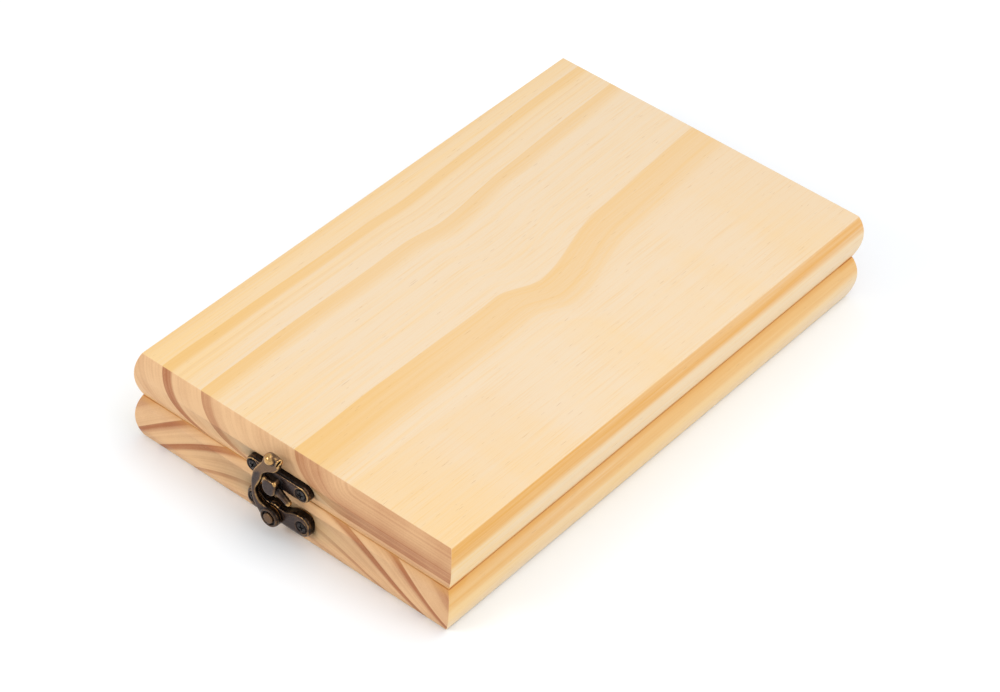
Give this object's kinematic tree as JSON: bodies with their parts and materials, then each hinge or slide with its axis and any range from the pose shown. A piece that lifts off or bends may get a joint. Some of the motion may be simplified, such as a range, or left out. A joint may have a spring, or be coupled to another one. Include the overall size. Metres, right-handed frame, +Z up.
{
  "type": "hinged wooden art tool case",
  "caption": "Flat pine case of two milled boards with rounded edges, hinged at one short end and closed by a swing-arm latch at the other.",
  "frame": {"origin": "centre of the base's flat bottom face", "axes": "+Z up through the lid, +Y towards the hinged short end, +X to the right seen from the latch end"},
  "size_m": [0.13, 0.223, 0.035],
  "materials": {
    "pine": "satin",
    "antique_brass": "satin",
    "screw_steel": "satin"
  },
  "bodies": {
    "base": {"base_shell": "pine", "pivot_plate": "antique_brass", "arm_rivet": "antique_brass", "pivot_plate_screw_left": "screw_steel", "pivot_plate_screw_right": "screw_steel", "base_hinge_leaf_left": "antique_brass", "base_hinge_leaf_right": "antique_brass", "hinge_pin_left": "screw_steel", "hinge_pin_right": "screw_steel", "base_hinge_screw_left_1": "screw_steel", "base_hinge_screw_left_2": "screw_steel", "base_hinge_screw_right_1": "screw_steel", "base_hinge_screw_right_2": "screw_steel"},
    "lid": {"lid_shell": "pine", "catch_plate": "antique_brass", "catch_screw_left": "screw_steel", "catch_screw_right": "screw_steel", "lid_hinge_leaf_left": "antique_brass", "lid_hinge_leaf_right": "antique_brass", "lid_hinge_screw_left_1": "screw_steel", "lid_hinge_screw_left_2": "screw_steel", "lid_hinge_screw_right_1": "screw_steel", "lid_hinge_screw_right_2": "screw_steel"},
    "latch_arm": {"swing_arm": "antique_brass"}
  },
  "joints": [
    {"name": "lid_hinge", "type": "hinge", "parent": "base", "child": "lid", "pos_m": [0, 0.1075, 0.0175], "axis": [-1, 0, 0], "range_deg": [0, 180]},
    {"name": "latch_swing", "type": "hinge", "parent": "base", "child": "latch_arm", "pos_m": [-0.00295, -0.1118, 0.00835], "axis": [0, -1, 0], "range_deg": [0, 90]}
  ]
}
